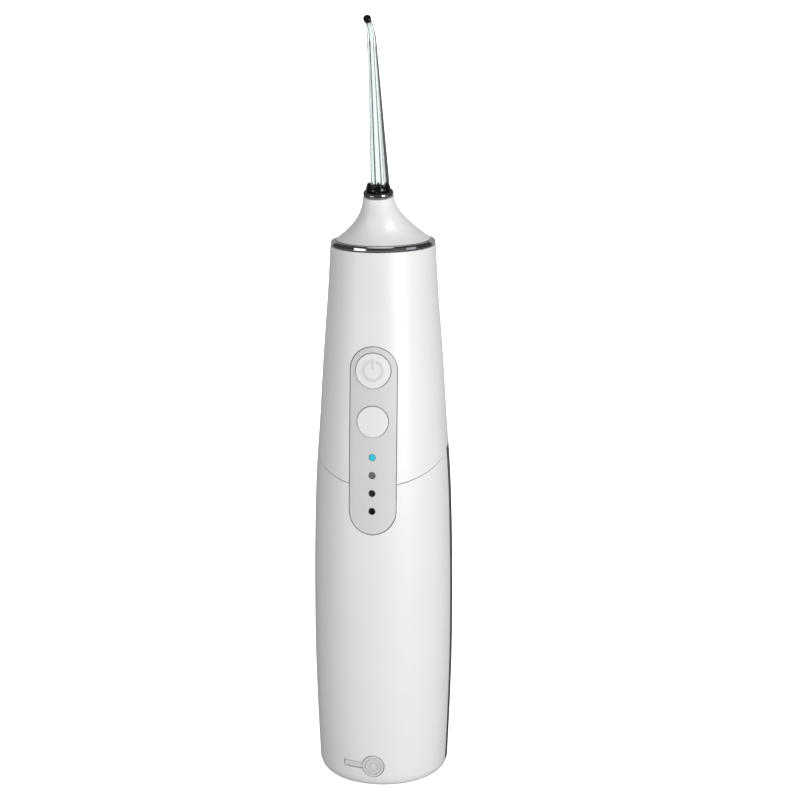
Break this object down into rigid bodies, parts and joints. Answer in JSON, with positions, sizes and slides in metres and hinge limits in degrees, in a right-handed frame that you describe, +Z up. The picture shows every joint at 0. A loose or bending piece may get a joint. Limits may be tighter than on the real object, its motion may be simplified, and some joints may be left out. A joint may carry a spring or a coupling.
{
  "type": "water flosser",
  "caption": "Slim cordless water flosser: handle with a front control panel, smoked slide-off tank with a filler flap, raked swivel neck and clear jet nozzle.",
  "frame": {"origin": "centre of the base, on the surface that the flosser stands on", "axes": "+Z up along the handle; -Y is the front with the control panel; +Y is the back with the tank and its filler flap"},
  "size_m": [0.0524, 0.0585, 0.2814],
  "materials": {
    "white_shell": "satin white ABS moulding",
    "grey_panel": "satin light grey inlay",
    "silver_cap": "pale satin cap",
    "chrome_trim": "bright plated plastic",
    "smoked_tank": "smoked see-through moulding",
    "clear_nozzle": "clear moulding",
    "black_plastic": "glossy black moulding",
    "grey_rubber": "soft matt light grey rubber",
    "seal_rubber": "matt black rubber",
    "lit_lens": "lit cyan light pipe",
    "dark_lens": "unlit light pipe",
    "steel": "plain steel",
    "board_laminate": "green solder-masked laminate",
    "inner_plastic": "unpainted natural moulding",
    "cell_wrap": "shrink-wrapped cell can",
    "silicone_hose": "translucent silicone",
    "lead_insulation": "soft coloured insulation"
  },
  "bodies": {
    "handle": {"upper_housing": "white_shell", "front_housing": "white_shell", "neck_cover": "white_shell", "trim_ring": "chrome_trim", "control_panel": "grey_panel", "circuit_board": "board_laminate", "power_switch": "black_plastic", "mode_switch": "black_plastic", "led_lens_1": "lit_lens", "led_lens_2": "dark_lens", "led_lens_3": "dark_lens", "led_lens_4": "dark_lens", "charging_jack": "black_plastic", "battery_cell": "cell_wrap", "battery_cradle": "inner_plastic", "battery_contact_bottom": "steel", "battery_contact_top": "steel", "motor_case": "steel", "motor_end_cap": "black_plastic", "gear_plate": "inner_plastic", "gear_axle": "steel", "motor_screw_1": "steel", "motor_screw_2": "steel", "plate_screw_1": "steel", "plate_screw_2": "steel", "pump_cylinder": "inner_plastic", "inlet_valve": "seal_rubber", "outlet_valve": "seal_rubber", "inlet_hose": "silicone_hose", "outlet_hose": "silicone_hose", "battery_lead": "lead_insulation", "jack_lead": "lead_insulation", "motor_lead": "lead_insulation", "suction_spigot": "inner_plastic"},
    "power_key": {"power_button": "silver_cap"},
    "mode_key": {"mode_button": "silver_cap"},
    "plug": {"charge_plug": "grey_rubber"},
    "rotor": {"motor_shaft": "steel", "motor_pinion": "steel"},
    "crank": {"crank_gear": "inner_plastic", "crank_pin": "steel"},
    "pump_piston": {"piston": "inner_plastic", "piston_yoke": "inner_plastic", "piston_seal": "seal_rubber"},
    "tank": {"tank_cup": "smoked_tank", "tank_upper_half": "smoked_tank", "tank_seal": "seal_rubber", "filler_hinge_pin": "steel", "suction_elbow": "inner_plastic", "suction_tube": "silicone_hose", "suction_filter": "seal_rubber", "tank_port_seal": "seal_rubber"},
    "flap": {"filler_flap": "smoked_tank"},
    "swivel": {"nozzle_socket": "inner_plastic", "swivel_collar": "chrome_trim"},
    "jet": {"nozzle": "clear_nozzle", "nozzle_ring": "black_plastic", "nozzle_seal": "seal_rubber", "orifice_cap": "black_plastic"}
  },
  "joints": [
    {"name": "power_press", "type": "slide", "parent": "handle", "child": "power_key", "axis": [0, 1, 0], "range_m": [0, 0.0006], "stiffness_N_per_m": 800},
    {"name": "mode_press", "type": "slide", "parent": "handle", "child": "mode_key", "axis": [0, 1, 0], "range_m": [0, 0.0006], "stiffness_N_per_m": 800},
    {"name": "plug_strap", "type": "hinge", "parent": "handle", "child": "plug", "pos_m": [-0.01057, -0.02166, 0.0087], "axis": [0, 0, -1], "range_deg": [0, 85]},
    {"name": "crank_turn", "type": "hinge", "parent": "handle", "child": "crank", "pos_m": [0, 0.009, 0.168], "axis": [0, 0, 1], "continuous": true},
    {"name": "rotor_turn", "type": "hinge", "parent": "handle", "child": "rotor", "pos_m": [0, -0.003, 0.168], "axis": [0, 0, 1], "continuous": true},
    {"name": "piston_stroke", "type": "slide", "parent": "handle", "child": "pump_piston", "axis": [0, 1, 0], "range_m": [-0.0025, 0.0025]},
    {"name": "tank_removal", "type": "slide", "parent": "handle", "child": "tank", "axis": [0, 1, 0], "range_m": [0, 0.045]},
    {"name": "flap_hinge", "type": "hinge", "parent": "tank", "child": "flap", "pos_m": [0, 0.02473, 0.0912], "axis": [-1, 0, 0], "range_deg": [0, 85]},
    {"name": "neck_swivel", "type": "hinge", "parent": "handle", "child": "swivel", "pos_m": [0, -0.0095, 0.2194], "axis": [0, -0.2419, 0.9703], "continuous": true},
    {"name": "nozzle_removal", "type": "slide", "parent": "swivel", "child": "jet", "axis": [0, -0.2419, 0.9703], "range_m": [0, 0.03]}
  ],
  "couplings": [
    {"joint": "rotor_turn", "follows": "crank_turn", "ratio": -3}
  ]
}
